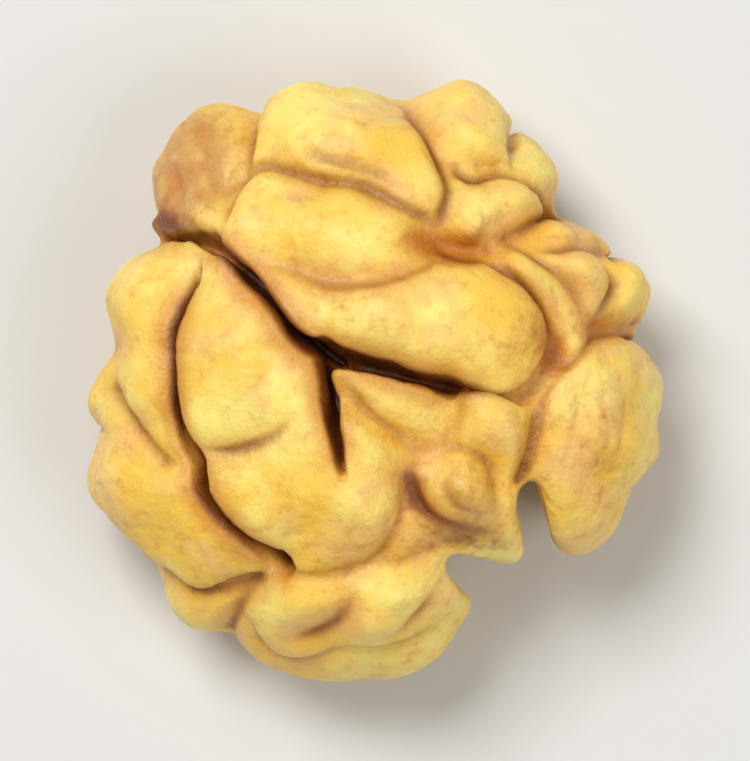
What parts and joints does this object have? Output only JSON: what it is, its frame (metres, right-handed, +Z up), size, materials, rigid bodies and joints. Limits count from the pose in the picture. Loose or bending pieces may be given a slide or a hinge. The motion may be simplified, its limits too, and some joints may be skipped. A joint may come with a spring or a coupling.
{
  "type": "walnut kernel",
  "caption": "Shelled walnut half: a domed, deeply folded nut kernel with a lobed rim, lying on its hollow side, for food displays and still lifes",
  "frame": {"origin": "centre of the bounding box's base, on the surface that the kernel lies on", "axes": "+Z up through the domed side, +Y along the longest side, +X across; the nut's pointed end is at -X +Y"},
  "size_m": [0.0316, 0.033, 0.0163],
  "materials": {
    "kernel": "satin, fresh pale yellow skin with brown in the creases"
  },
  "bodies": {
    "root": {"kernel": "kernel"}
  },
  "joints": []
}
